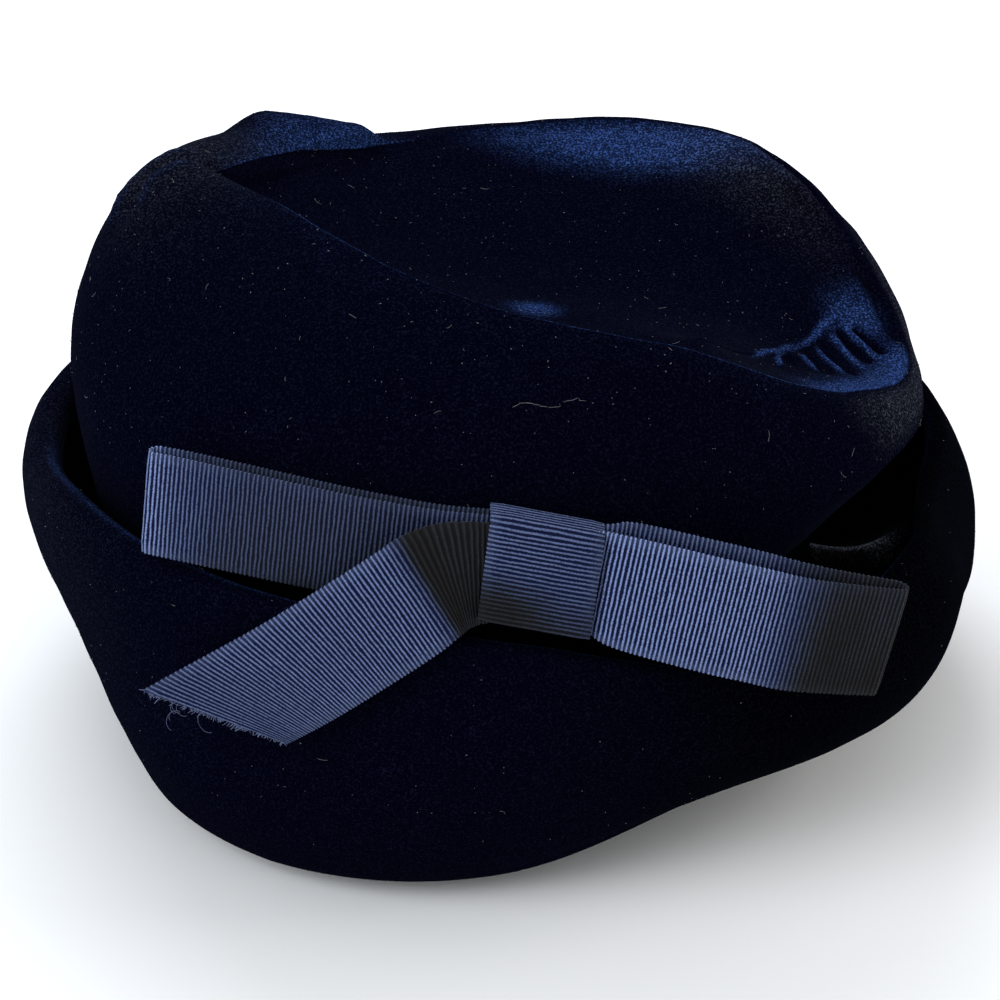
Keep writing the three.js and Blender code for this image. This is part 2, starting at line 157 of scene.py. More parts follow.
softbox("light_back", (-0.25, 0.95, 1.05), (1.0, 0.7), 13, (0.86, 0.92, 1.0))
softbox("light_left", (-1.0, -0.75, 0.95), (0.9, 0.9), 13, (0.9, 0.95, 1.0))
softbox("light_right", (1.15, 0.1, 0.6), (0.7, 0.7), 6, (1.0, 0.97, 0.93))
world = bpy.data.worlds.new("studio")
world.use_nodes = True
sky = world.node_tree.nodes["Background"].inputs
sky["Color"].default_value = (0.95, 0.97, 1.0, 1)
sky["Strength"].default_value = 0.75
bpy.context.scene.world = world
bpy.context.scene.view_settings.view_transform = "Standard"

FLOOR_REACH = 3
floor_corners = [(x * FLOOR_REACH, y * FLOOR_REACH, 0) for x, y in ((-1, -1), (1, -1), (1, 1), (-1, 1))]
floor_mesh = bpy.data.meshes.new("floor")
floor_mesh.from_pydata(floor_corners, [], [(0, 1, 2, 3)])
floor = bpy.data.objects.new("floor", floor_mesh)
floor_paint = Finish("pale_floor", Base_Color=(0.86, 0.86, 0.86, 1), Roughness=0.9)
floor_mesh.materials.append(floor_paint.material)
bpy.context.collection.objects.link(floor)


# Crown: velvet on a stiffening layer, draped from the seam in the head opening out over the brim,
# folded over at the top and gathered at the right into a sunken tip. Sizes are millimetres.
MM = 0.001


def table(columns, rows):
    """Named columns of numbers from rows of them."""
    names = columns.split()
    return {name: np.array([row[k] for row in rows], float) for k, name in enumerate(names)}


def mix(a, b, t):
    return a + (b - a) * t


def smooth(t):
    t = np.clip(t, 0, 1)
    return t * t * (3 - 2 * t)


def between(value, first, fade_in, last, fade_out):
    """1 between two values, fading in after the first and out before the last."""
    return smooth((value - first) / fade_in) * smooth((last - value) / fade_out)


def bezier(a, b, c, d, t):
    s = 1 - t
    return a * s**3 + 3 * b * t * s * s + 3 * c * t * t * s + d * t**3


def catmull_rom(a, b, c, d, t):
    cube = 3 * b - a - 3 * c + d
    return 0.5 * (2 * b + (c - a) * t + (2 * a - 5 * b + 4 * c - d) * t * t + cube * t**3)


def around(column, angles):
    """A column whose rows go once round the hat, read at angles in degrees."""
    spot = (angles % 360) * len(column) / 360
    k = np.floor(spot).astype(int)
    a, b, c, d = (column[(k + step) % len(column)] for step in (-1, 0, 1, 2))
    return catmull_rom(a, b, c, d, spot - k)


def half_oval(width, depth, angles):
    """How far the edge of an oval lies from its middle."""
    turn = np.radians(angles)
    return np.hypot(width / 2 * np.cos(turn), depth / 2 * np.sin(turn))


HEAD_WIDTH, HEAD_LENGTH = 166, 178
BRIM_WIDTH, BRIM_DEPTH, BRIM_RISE = 246, 236, 85
CROWN_CLOTH, BRIM_CLOTH, SEAM_GAP = 2.5, 3.4, 0.3
CROWN_RISE, NECK_RISE = 145, 49
TIP_MIDDLE = np.array([8.0, 0.0, 111.0])

# The axis of the head opening in the frame, found from the knot, which stands at a known place.
KNOT_PLACE = np.array([8.5, -102.87, 93.0])
knot_low, knot_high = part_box("bow_knot")
axis_place = (np.array(knot_low) + np.array(knot_high)) / 2 / MM - KNOT_PLACE


def plan(share, angles):
    """Plan place at a share of the brim's oval."""
    turn = np.radians(angles)
    return share * BRIM_WIDTH / 2 * np.cos(turn), share * BRIM_DEPTH / 2 * np.sin(turn)


def place(angles, radius, height):
    """Points at these radii and heights, set out along the brim's oval."""
    x, y = plan(radius / half_oval(BRIM_WIDTH, BRIM_DEPTH, angles), angles)
    return np.stack([x, y, height + 0 * x], axis=-1)


# Rows every 30 degrees from the right by way of the back: shares of the half head opening, of
# the crown's rise, and of the rise from belly to rim.
CROWN = table("neck belly belly_rise rim rim_rise shoulder", [
    [0.93, 1.232, 0.60, 1.190, 0.66, -0.20],
    [0.99, 1.212, 0.60, 1.020, 0.858, -0.18],
    [1.00, 1.142, 0.62, 0.890, 0.888, -0.13],
    [1.01, 1.115, 0.64, 0.780, 0.872, -0.06],
    [1.05, 1.145, 0.67, 0.700, 0.875, 0.10],
    [1.11, 1.210, 0.71, 0.695, 0.928, 0.41],
    [1.17, 1.222, 0.71, 0.735, 0.972, 0.34],
    [1.14, 1.225, 0.68, 0.645, 0.98, -0.10],
    [1.05, 1.118, 0.66, 0.641, 0.97, -0.14],
    [1.01, 1.080, 0.64, 0.716, 0.93, -0.14],
    [0.98, 1.104, 0.62, 0.873, 0.87, -0.14],
    [0.91, 1.206, 0.62, 1.075, 0.725, -0.14],
])
# The fold over the top: its radius, the slope in degrees and the width of the cloth inside it,
# and the step down (or up, below 0) from there to the tip.
FOLD = table("radius slope width step", [
    [4.5, 10, 17, -1.5],
    [3.5, 16, 5, 0.0],
    [4.0, 17, 6, 0.0],
    [4.5, 15, 6, 0.0],
    [3.4, 24, 4, 0.3],
    [2.6, 36, 4, 1.8],
    [1.5, 65, 2, 5.0],
    [1.2, 75, 2, 6.0],
    [1.1, 75, 2, 6.0],
    [1.2, 70, 2, 6.0],
    [1.4, 50, 5, 4.0],
    [3.4, 12, 22, -2.0],
])
NECK_ARMS = {"out": 0.25, "up": 0.35, "down": 0.45}
SHOULDER_ARMS = {"up": 0.5, "out": 0.42}
# Beside the tables, in degrees and millimetres: the point of the fold at the left, how far the
# wall falls in under the right bulge, and the gathered cloth inside the fold at the right.
POINT = {"angle": 180, "out": 6.0, "spread": 7}
HOLLOW = {"angle": 338, "in": 12, "spread": 26}
GATHERED = {"start": 296, "end": 382, "slope": -6, "wide": 24, "narrow": 7, "step": -0.7}
STEP_WIDTH = 1.6
# Points on each line from the seam to the middle of the tip, part by part.
SEAM_POINTS, WALL_POINTS, SHOULDER_POINTS = 14, 20, 36
FOLD_POINTS, BAND_POINTS, STEP_POINTS, TIP_POINTS = 11, 25, 6, 41
BELLY_ROW = SEAM_POINTS + WALL_POINTS

# These lines stand closer together where the cloth is gathered.
fine = np.arange(GATHERED["start"], 376, 0.36)
coarse = np.linspace(16, GATHERED["start"], 300, endpoint=False)
angles = np.concatenate([coarse, fine])[:, None]
head = half_oval(HEAD_WIDTH, HEAD_LENGTH, angles)


# Brim rows, also every 30 degrees: shares of the way from the head opening to the outline, of
# the brim's rise, and of the ridge's radius; flare says how soon the brim turns up.
BRIM = table("foot flare lift ridge ridge_rise bulge bead", [
    [0.21, 0.55, 0.05, 0.60, 0.66, 0.53, 0.90],
    [0.22, 0.60, 0.00, 0.84, 0.73, 0.28, 0.75],
    [0.18, 0.60, 0.00, 0.79, 0.75, 0.21, 0.75],
    [0.19, 0.60, 0.00, 0.73, 0.77, 0.22, 0.75],
    [0.18, 0.60, 0.00, 0.79, 0.77, 0.21, 0.90],
    [0.19, 0.50, 0.00, 0.80, 0.78, 0.21, 1.10],
    [0.14, 0.35, 0.00, 0.76, 0.76, 0.16, 1.25],
    [0.22, 0.25, 0.00, 0.70, 0.91, 0.07, 1.00],
    [0.18, 0.35, 0.00, 0.67, 0.945, 0.12, 0.75],
    [0.10, 0.50, 0.075, 0.55, 0.87, 0.22, 0.55],
    [0.10, 0.50, 0.24, 0.67, 0.72, 0.21, 0.55],
    [0.12, 0.50, 0.20, 0.65, 0.79, 0.39, 0.65],
])


def brim_lift(at):
    """Height of the brim's underside, which the crown's seam follows."""
    return np.maximum(0, around(BRIM["lift"], at)) * BRIM_RISE


def crown_wall():
    """Radius and height from the seam up to the rim, and the rim's heading."""
    neck, belly, rim = (head * around(CROWN[name], angles) for name in ("neck", "belly", "rim"))
    rim = rim + POINT["out"] * np.exp(-np.abs(angles - POINT["angle"]) / POINT["spread"])
    belly_z = CROWN_RISE * around(CROWN["belly_rise"], angles)
    rim_z = CROWN_RISE * around(CROWN["rim_rise"], angles)
    low = brim_lift(angles)
    seam = head + CROWN_CLOTH
    t = np.linspace(0, 1, SEAM_POINTS, endpoint=False)
    seam_r = mix(seam, neck + CROWN_CLOTH / 2, smooth(t))
    seam_z = mix(low + 2 * SEAM_GAP, NECK_RISE, t)
    t = np.linspace(0, 1, WALL_POINTS, endpoint=False)
    out_r = bezier(neck, mix(neck, belly, NECK_ARMS["out"]), belly, belly, t)
    out_z = bezier(NECK_RISE, mix(NECK_RISE, belly_z, NECK_ARMS["up"]),
                   mix(belly_z, NECK_RISE, NECK_ARMS["down"]), belly_z, t)
    under = np.exp(-(((angles - HOLLOW["angle"]) / HOLLOW["spread"]) ** 2))
    out_r = out_r - HOLLOW["in"] * under * np.sin(math.pi * t)
    t = np.linspace(0, 1, SHOULDER_POINTS)
    arm_r = mix(rim, belly, SHOULDER_ARMS["out"])
    arm_z = rim_z + around(CROWN["shoulder"], angles) * (rim_z - belly_z)
    top_r = bezier(belly, belly, arm_r, rim, t)
    top_z = bezier(belly_z, mix(belly_z, rim_z, SHOULDER_ARMS["up"]), arm_z, rim_z, t)
    radius = np.concatenate([seam_r, out_r + CROWN_CLOTH / 2, top_r + CROWN_CLOTH / 2], axis=1)
    height = np.concatenate([seam_z, out_z, top_z], axis=1)
    heading = np.arctan2(rim_z - arm_z, rim - arm_r) % (2 * math.pi)
    return radius, height, heading


def fold_over(radius, height, heading):
    """Radius and height round the fold, across the cloth inside it and over the step."""
    roll = around(FOLD["radius"], angles)
    full_turn = np.where(angles < 90, angles + 360, angles)
    level = between(full_turn, GATHERED["start"], 20, GATHERED["end"], 18)
    wide = level * smooth((full_turn - 297) / 32)
    slope = np.pi + np.radians(mix(around(FOLD["slope"], angles), GATHERED["slope"], level))
    turn = mix(heading, slope, np.linspace(0, 1, FOLD_POINTS + 1)[1:])
    r = radius[:, -1:] + (np.sin(turn) - np.sin(heading)) * roll
    z = height[:, -1:] + (np.cos(heading) - np.cos(turn)) * roll
    t = np.linspace(0, 1, BAND_POINTS + 1)[1:]
    width = mix(GATHERED["wide"], GATHERED["narrow"], smooth((full_turn - 346) / 32))
    width = mix(around(FOLD["width"], angles), width, wide)
    band_r = r[:, -1:] + np.cos(slope) * width * t
    band_z = z[:, -1:] + np.sin(slope) * width * t
    step = mix(around(FOLD["step"], angles), GATHERED["step"], level)
    t = np.linspace(0, 1, STEP_POINTS + 1)[1:]
    step_r = band_r[:, -1:] - STEP_WIDTH * t
    step_z = band_z[:, -1:] - step * smooth(t)
    return np.concatenate([r, band_r, step_r], axis=1), np.concatenate([z, band_z, step_z], axis=1)


wall_r, wall_z, heading = crown_wall()
fold_r, fold_z = fold_over(wall_r, wall_z, heading)
outside_r = np.concatenate([wall_r, fold_r], axis=1)
outside_z = np.concatenate([wall_z, fold_z], axis=1)
outside = place(angles, outside_r, outside_z)
edge = outside[:, -1:]


def softened(column, spread):
    """A column averaged round the hat over a spread in degrees."""
    apart = (angles - angles.T + 180) % 360 - 180
    weight = np.exp(-((apart / spread) ** 2)) * np.gradient(angles[:, 0])
    return (weight @ column) / weight.sum(axis=1, keepdims=True)


# The tip is a shallow dish: smooth in the middle, and bent to the edge of the fold near it.
DISH_SPREAD, DISH_CURVE, EDGE_CURVE = 26, 1.6, 6
reach = np.linalg.norm(edge[:, :, :2] - TIP_MIDDLE[:2], axis=-1)
dish_reach, dish_edge = softened(reach, DISH_SPREAD), softened(edge[:, :, 2], DISH_SPREAD)


def dish(share):
    return mix(TIP_MIDDLE[2], dish_edge, (share * reach / dish_reach) ** DISH_CURVE)


share = np.linspace(1, 0, TIP_POINTS + 1)[None, 1:]
tip = mix(TIP_MIDDLE, edge, share[..., None])
tip[..., 2] = dish(share) + (edge[..., 2] - dish(1)) * share**EDGE_CURVE
crown_grid = np.concatenate([outside, tip], axis=1)
WALL_ROWS, FOLD_ROWS = wall_r.shape[1], fold_r.shape[1]
RIM_ROW = WALL_ROWS + 5
TIP_ROW = WALL_ROWS + FOLD_ROWS


def grid_patches(grid):
    """At each point of a grid, the outward direction times the area round the point."""
    up = np.gradient(grid, axis=1)
    ahead = np.roll(grid, -1, axis=0) - np.roll(grid, 1, axis=0)
    return np.cross(ahead, up)


def grid_normals(grid):
    patches = grid_patches(grid)
    return patches / np.maximum(np.linalg.norm(patches, axis=-1, keepdims=True), 1e-9)


def on_rows(grid, first, last):
    """1 on these rows of a grid and 0 elsewhere."""
    part = np.zeros(grid.shape[:2])
    part[:, first:last] = 1
    return part


def near_path(grid, path, width, ends=0.25):
    """How near each point lies, seen from above, to a path of (angle, share) places: 0 to 1."""
    spots = np.array([plan(share, angle) for angle, share in path])
    lengths = np.linalg.norm(np.diff(spots, axis=0), axis=1)
    total, done, best = lengths.sum(), 0.0, np.zeros(grid.shape[:2])
    for a, b, length in zip(spots, spots[1:], lengths):
        t = np.clip(((grid[..., :2] - a) @ (b - a)) / length**2, 0, 1)
        gap = np.linalg.norm(grid[..., :2] - (a + t[..., None] * (b - a)), axis=-1)
        travel = (done + t * length) / total
        fade = smooth(travel / ends) * smooth((1 - travel) / ends)
        best = np.maximum(best, np.exp(-((gap / width) ** 2)) * fade)
        done += length
    return best


# Creases: places on each path as (angle, share of the brim's oval), width and height, where a
# height below 0 is a groove. Gathers at the right with folds behind them, pleats at the left, and
# a broad hump behind the pleats.
GATHERS = [
    ([(3, 0.700), (355.5, 0.768)], 1.3, -1.9),
    ([(2.5, 0.674), (351, 0.740)], 1.3, -2.0),
    ([(358, 0.637), (341, 0.721)], 1.4, -2.1),
    ([(354, 0.611), (336, 0.684)], 1.5, -2.0),
    ([(347, 0.580), (331, 0.640)], 2.6, -1.6),
    ([(3, 0.688), (353.5, 0.752)], 0.9, 0.8),
    ([(1, 0.655), (346.5, 0.730)], 0.9, 0.8),
    ([(356.5, 0.624), (339, 0.703)], 0.9, 0.8),
    ([(351, 0.596), (334, 0.664)], 0.9, 0.8),
    ([(343, 0.560), (328, 0.615)], 0.8, 0.7),
    ([(323, 0.570), (338, 0.548), (348, 0.572), (356.5, 0.618), (3, 0.660), (9, 0.715)], 0.8, 0.4),
]
RIGHT_FOLDS = [
    ([(48, 0.645), (33, 0.665), (19, 0.720)], 2.2, 1.2),
    ([(40, 0.690), (26, 0.715), (16, 0.760)], 2.2, -1.8),
    ([(30, 0.655), (21, 0.690), (13, 0.740)], 1.8, -1.2),
    ([(17, 0.735), (9, 0.765), (358, 0.800)], 1.5, -1.8),
    ([(28, 0.790), (16, 0.815), (5, 0.840)], 2.2, 1.0),
]
LEFT_PLEATS = [
    ([(177, 0.560), (174, 0.640), (175, 0.715), (188, 0.760)], 2.0, 1.4),
    ([(180, 0.575), (178, 0.640), (180, 0.700), (190, 0.730)], 2.2, -1.6),
    ([(183, 0.560), (182, 0.615), (184, 0.675), (191, 0.700)], 1.6, 1.2),
]
HUMP = [([(154, 0.600), (142, 0.580), (130, 0.545), (115, 0.512)], 9.5, 5.2)]
gathers_part = on_rows(crown_grid, WALL_ROWS - 12, TIP_ROW + 3)
upper_part = on_rows(crown_grid, BELLY_ROW + 6, TIP_ROW + 30)
shoulder_part = on_rows(crown_grid, BELLY_ROW + 4, WALL_ROWS + 4)

lift = np.zeros(crown_grid.shape[:2])
# The painted highlight mask: each crease paints a highlight along its ridge and painted shade in its
# groove, as much as its glow.
painted_highlight = np.zeros(crown_grid.shape[:2])
for creases, part, glow in (
    (GATHERS, gathers_part, 0.9), (RIGHT_FOLDS, upper_part, 0.12),
    (LEFT_PLEATS, shoulder_part, 0.32), (HUMP, shoulder_part, 0),
):
    for path, width, height in creases:
        near = near_path(crown_grid, path, width) * part
        lift += near * height
        painted_highlight += near * (glow if height > 0 else -glow)


WAVES = 7


def soft_waves(grid, length, seed):
    """Gentle unevenness, about -1 to 1, from a few waves in seeded directions."""
    chance = np.random.default_rng(seed)
    total = np.zeros(grid.shape[:2])
    for k in range(WAVES):
        way = chance.normal(size=3)
        way *= 2 * math.pi / (length * chance.uniform(0.7, 1.5) * np.linalg.norm(way))
        total += np.sin(grid @ way + chance.uniform(0, 2 * math.pi))
    return total / (WAVES / 2)


normal = grid_normals(crown_grid)
body_part = np.ones(crown_grid.shape[:2])
body_part[:, -12:] = np.linspace(1, 0, 12)
lift += (0.5 * soft_waves(crown_grid, 60, 3) + 0.12 * soft_waves(crown_grid, 14, 5)) * body_part
crown_grid = crown_grid + normal * lift[..., None]
normal = grid_normals(crown_grid)


def glow_spot(grid, middle, size, turn=0.0):
    """A soft oval in plan, 1 in its middle: middle and half sizes in mm, turn in degrees."""
    c, s = math.cos(math.radians(turn)), math.sin(math.radians(turn))
    x, y = grid[..., 0] - middle[0], grid[..., 1] - middle[1]
    reach = ((x * c + y * s) / size[0]) ** 2 + ((y * c - x * s) / size[1]) ** 2
    return np.exp(-reach)


rows = np.arange(crown_grid.shape[1])[None, :]
ring = angles % 360


def by_fold(below, above):
    """1 along the top of the fold, fading over these numbers of rows below and above it."""
    return np.exp(-(((rows - RIM_ROW) / np.where(rows < RIM_ROW, below, above)) ** 2))


# Painted highlights: blue along the fold, on parts of the tip and on the left shoulder, and a
# painted grey sheen at the right and on the left shoulder's edge.
front_edge = between(ring, 178, 12, 335, 16)
bright_edge = between(ring, 262, 30, 352, 10)
right_edge = between(ring, 316, 12, 363, 12)
crest_edge = between(ring, 100, 26, 181, 6)
painted_highlight += front_edge * (by_fold(1.8, 2.2) * 0.78 + by_fold(11, 2) * 0.14)
painted_highlight += bright_edge * by_fold(1.6, 2.0) * 0.55
painted_highlight += right_edge * by_fold(4, 11) * 1.15
painted_highlight += crest_edge * by_fold(6, 4) * 0.70
on_tip = smooth((rows - RIM_ROW) / 6)
on_shoulder = between(rows, WALL_ROWS - 26, 10, RIM_ROW + 1, 4)
on_wall = between(rows, BELLY_ROW, 12, WALL_ROWS, 12)
for middle, size, turn, strength in (
    ((33, 57), (36, 9), -14, 1.0), ((88, 6), (8, 9), 0, 0.75), ((8, -17), (6, 6), 0, 0.9),
):
    painted_highlight += on_tip * glow_spot(crown_grid, middle, size, turn) * strength
painted_highlight += on_shoulder * glow_spot(crown_grid, (-48, 38), (22, 10), 54) * 0.46
painted_highlight = np.clip(painted_highlight, 0, 1)
painted_grey_sheen = on_tip * glow_spot(crown_grid, (64, 42), (22, 9), -42) * 0.5
painted_grey_sheen += (smooth((ring - 322) / 16) + smooth((30 - ring) / 25)) * on_wall * 0.85
painted_grey_sheen += on_shoulder * glow_spot(crown_grid, (-76, 10), (22, 26)) * 0.45
painted_grey_sheen = np.clip(painted_grey_sheen, 0, 1)


def merged(name, points, faces, attributes):
    """A smooth mesh piece from points in millimetres, with coinciding points made one."""
    mesh = bpy.data.meshes.new(name)
    mesh.from_pydata(((points + axis_place) * MM).tolist(), [], faces)
    for label, values in attributes.items():
        layer = mesh.attributes.new(label, "FLOAT", "POINT")
        layer.data.foreach_set("value", np.asarray(values, np.float32).ravel())
    piece = bpy.data.objects.new(name, mesh)
    bpy.context.collection.objects.link(piece)
    weld = piece.modifiers.new("weld", "WELD")
    weld.merge_threshold = 0.001 * MM
    graph = bpy.context.evaluated_depsgraph_get()
    piece.data = bpy.data.meshes.new_from_object(piece.evaluated_get(graph))
    piece.modifiers.clear()
    piece.data.name = name
    piece.data.shade_smooth()
    return piece


def looped_faces(count, size):
    """Faces between count closed sections of size points, joined in a ring."""
    i, j = np.meshgrid(np.arange(count), np.arange(size), indexing="ij")
    k, m = (i + 1) % count, (j + 1) % size
    corners = np.stack([i * size + j, k * size + j, k * size + m, i * size + m], axis=-1)
    return corners.reshape(-1, 4).tolist()


# The back of the cloth follows the front at a cloth's thickness, and passes just under the fold.
inward = normal.copy()
inward[:, WALL_ROWS:TIP_ROW + 4] = (0, 0, 1)
back_rows = np.r_[0:WALL_ROWS - 8:4, WALL_ROWS + 7:TIP_ROW:6, TIP_ROW + 6:crown_grid.shape[1]:4]
back_rows = np.append(back_rows, crown_grid.shape[1] - 1)
backing = (crown_grid - inward * CROWN_CLOTH)[:, back_rows]
backing[:, -1] = backing[:, -1].mean(axis=0)
crown_grid[:, -1] = crown_grid[:, -1].mean(axis=0)
crown_loop = np.concatenate([crown_grid, backing[:, ::-1]], axis=1)
# Painted shade: low on the wall, down into the gutter, the velvet is painted nearly black.
gutter_shade = 0.9 * smooth((BELLY_ROW - 2 - rows) / 14) + 0 * painted_highlight
# Per point: painted highlight, painted grey sheen, painted shade, and the back of the cloth.
crown_highlight, crown_grey_sheen, crown_shade, crown_back = (
    np.concatenate([front, np.full(backing.shape[:2], behind)], axis=1)
    for front, behind in ((painted_highlight, 0), (painted_grey_sheen, 0), (gutter_shade, 0), (0 * painted_highlight, 1))
)
crown = merged(
    "crown_velvet", crown_loop.reshape(-1, 3), looped_faces(*crown_loop.shape[:2]),
    {"blue_highlight": crown_highlight, "grey_sheen": crown_grey_sheen, "painted_shade": crown_shade, "backing": crown_back},
)


def velvet_finish(name):
    """Dark navy velvet: near black face on, with painted blue highlights, painted grey sheen where it is
    seen edge on, and painted shade.
    """
    velvet = Finish(
        name, Roughness=1.0, Specular_IOR_Level=0.0,
        Sheen_Weight=0.006, Sheen_Roughness=0.35, Sheen_Tint=(0.60, 0.72, 1.0, 1),
    )
    cloudy = velvet.noise(38, 4)
    ragged = velvet.noise(260, 3)
    grain = velvet.noise(1900, 1.5)
    tufts = velvet.steps(grain, 0.47, 0.72)
    blue_highlight, grey_sheen = velvet.painted("blue_highlight"), velvet.painted("grey_sheen")
    # Painted blue highlight where the highlight attribute is set, broken up by the pile's grain.
    lit = velvet.steps(blue_highlight * (0.35 + 0.9 * ragged + 0.55 * cloudy), 0.02, 1.1) * (0.16 + 1.5 * tufts)
    brushed = velvet.steps(cloudy * 0.7 + ragged * 0.3, 0.50, 0.72) * 0.035 * tufts
    dark = velvet.blend(tufts, (0.0005, 0.0007, 0.0038, 1), (0.0034, 0.0038, 0.0110, 1))
    blue = velvet.blend(lit + brushed, dark, (0.024, 0.054, 0.185, 1))
    # Painted grey sheen: where the grey attribute is set and where the surface is seen edge on.
    on_edge = velvet.node("LayerWeight", {}, {"Blend": 0.3}, output="Facing") ** 4
    grey_sheen_share = (grey_sheen * (0.10 + 0.28 * ragged) + on_edge * 0.02) * (0.10 + 1.3 * tufts)
    colour = velvet.blend(grey_sheen_share, blue, (0.136, 0.150, 0.180, 1))
    # Painted shade: near black where the shade attribute is set.
    painted_shade = velvet.blend(tufts, (0.0004, 0.0004, 0.0006, 1), (0.0020, 0.0020, 0.0030, 1))
    colour = velvet.blend(velvet.painted("painted_shade"), colour, painted_shade)
    back = velvet.painted("backing")
    weave = velvet.node("TexWave", {"wave_type": "BANDS"}, {"Scale": 900, "Distortion": 0.4}, output=1)
    plain = velvet.blend(weave, (0.0012, 0.0015, 0.0030, 1), (0.0040, 0.0050, 0.0090, 1))
    velvet.set(
        Base_Color=velvet.blend(back, colour, plain),
        Normal=velvet.bump(grain, 0.0004, 0.5),
    )
    return velvet.material


velvet = velvet_finish("navy_velvet")
crown.data.materials.append(velvet)
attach(crown, "root")
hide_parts("crown_side", "crown_tip")


# Brim: velvet doubled over a stiff layer, flat under the head opening, turned up all round to a
# soft rounded ridge, with a tuck sewn into its inner face at the right of the gutter.
RIDGE_RADIUS = 4
BRIM_BEND = {"low": 0.22, "flared": 0.3, "high": 0.62, "reach": 1.1, "bead": 0.55}
# How far the brim stands out or in beyond the table, low down and near its ridge, every 15
# degrees, as shares of the way.
BRIM_WAVE = table("low high", [
    [-0.08, 0.02], [0.00, 0.16], [0.00, 0.12], [0.00, 0.03], [0.00, 0.00], [0.00, 0.00],
    [0.00, 0.00], [0.00, 0.00], [0.00, 0.00], [0.00, 0.03], [0.00, 0.14], [0.00, 0.12],
    [-0.02, 0.02], [-0.06, -0.04], [0.05, -0.03], [0.15, 0.02], [0.14, 0.02], [0.06, 0.00],
    [-0.05, 0.00], [-0.10, -0.02], [-0.03, 0.00], [0.06, 0.02], [0.03, 0.02], [-0.20, -0.05],
])
# Points on each line round the brim's section: on each face, over the ridge and on the base.
FACE_POINTS, CAP_POINTS, BASE_POINTS = 56, 14, 5
turns = np.arange(0, 360, 0.8)[:, None]
opening = half_oval(HEAD_WIDTH, HEAD_LENGTH, turns) + CROWN_CLOTH + SEAM_GAP
way = half_oval(BRIM_WIDTH, BRIM_DEPTH, turns) - opening
low_lift = brim_lift(turns)
foot, ridge, bulge = (opening * (name != "bulge") + way * around(BRIM[name], turns)
                      for name in ("foot", "ridge", "bulge"))
ridge_z = BRIM_RISE * around(BRIM["ridge_rise"], turns)
flare = around(BRIM["flare"], turns)
bead = around(BRIM["bead"], turns) * RIDGE_RADIUS
low = low_lift + BRIM_CLOTH / 2
low_arm = low + (BRIM_BEND["low"] - BRIM_BEND["flared"] * flare) * (ridge_z - low_lift)
t = np.linspace(0, 1, FACE_POINTS)
low_reach = foot + flare * (ridge - foot) + bulge
mid_r = bezier(foot, low_reach, ridge + bulge * BRIM_BEND["reach"], ridge, t)
wave_low, wave_high = around(BRIM_WAVE["low"], turns), around(BRIM_WAVE["high"], turns)
mid_r = mid_r + way * mix(wave_low * smooth(t * 6), wave_high, smooth((t - 0.35) / 0.5))
mid_z = bezier(low, low_arm, mix(low_lift, ridge_z, BRIM_BEND["high"]), ridge_z, t)
half = mix(BRIM_CLOTH / 2, bead, smooth((t - BRIM_BEND["bead"]) / (1 - BRIM_BEND["bead"])))
run_r, run_z = np.gradient(mid_r, axis=1), np.gradient(mid_z, axis=1)
run_length = np.hypot(run_r, run_z)
side_r, side_z = run_z / run_length, -run_r / run_length
out_r, out_z = mid_r + side_r * half, np.maximum(mid_z + side_z * half, low_lift)
in_r, in_z = mid_r - side_r * half, np.maximum(mid_z - side_z * half, low_lift + BRIM_CLOTH)
arc = np.linspace(0, math.pi, CAP_POINTS + 2)[1:-1]
cap_r = mid_r[:, -1:] + (side_r[:, -1:] * np.cos(arc) - side_z[:, -1:] * np.sin(arc)) * bead
cap_z = mid_z[:, -1:] + (side_z[:, -1:] * np.cos(arc) + side_r[:, -1:] * np.sin(arc)) * bead
under = np.linspace(0, 1, BASE_POINTS, endpoint=False)
under_r = mix(opening, out_r[:, :1], under)
base_r = mix(in_r[:, :1], opening, under + 1 / BASE_POINTS)
brim_r = np.concatenate([under_r, out_r, cap_r, in_r[:, ::-1], base_r], axis=1)
brim_z = np.concatenate(
    [low_lift + 0 * under_r, out_z, cap_z, in_z[:, ::-1], low_lift + BRIM_CLOTH + 0 * base_r], axis=1)
brim_grid = place(turns, brim_r, brim_z)
OUT_ROW = BASE_POINTS
CAP_ROW = OUT_ROW + FACE_POINTS
IN_ROW = CAP_ROW + CAP_POINTS

# The tuck: a padded fold along the inner face, by (angle, share) places, that fades at its ends.
TUCK = {"path": [(36, 0.765), (28, 0.820), (21, 0.885), (17, 0.940)], "width": 4.4, "height": 9.5}
tuck = near_path(brim_grid, TUCK["path"], TUCK["width"], 0.12)
tuck = tuck * on_rows(brim_grid, IN_ROW + 10, IN_ROW + FACE_POINTS)
brim_normal = grid_normals(brim_grid)
resting = smooth((brim_grid[..., 2] - low_lift - 4) / 8)
brim_lump = resting * (0.45 * soft_waves(brim_grid, 55, 11) + 0.12 * soft_waves(brim_grid, 15, 12))
brim_grid = brim_grid + brim_normal * (brim_lump + tuck * TUCK["height"])[..., None]
brim_rows = np.arange(brim_grid.shape[1])[None, :]
# Painted highlight along the ridge, a painted grey highlight on the tuck, and painted grey sheen low on
# the left side.
ridge_line = np.exp(-(((brim_rows - CAP_ROW - 8) / 1.8) ** 2))
front_ridge = between(turns, 172, 20, 338, 24)
left_side = between(turns, 150, 25, 235, 40)
brim_highlight = ridge_line * (0.06 + 0.42 * front_ridge) + 0.02
brim_grey_sheen = 7 * tuck + left_side * 0.12 * smooth((brim_rows - OUT_ROW - 16) / 30)
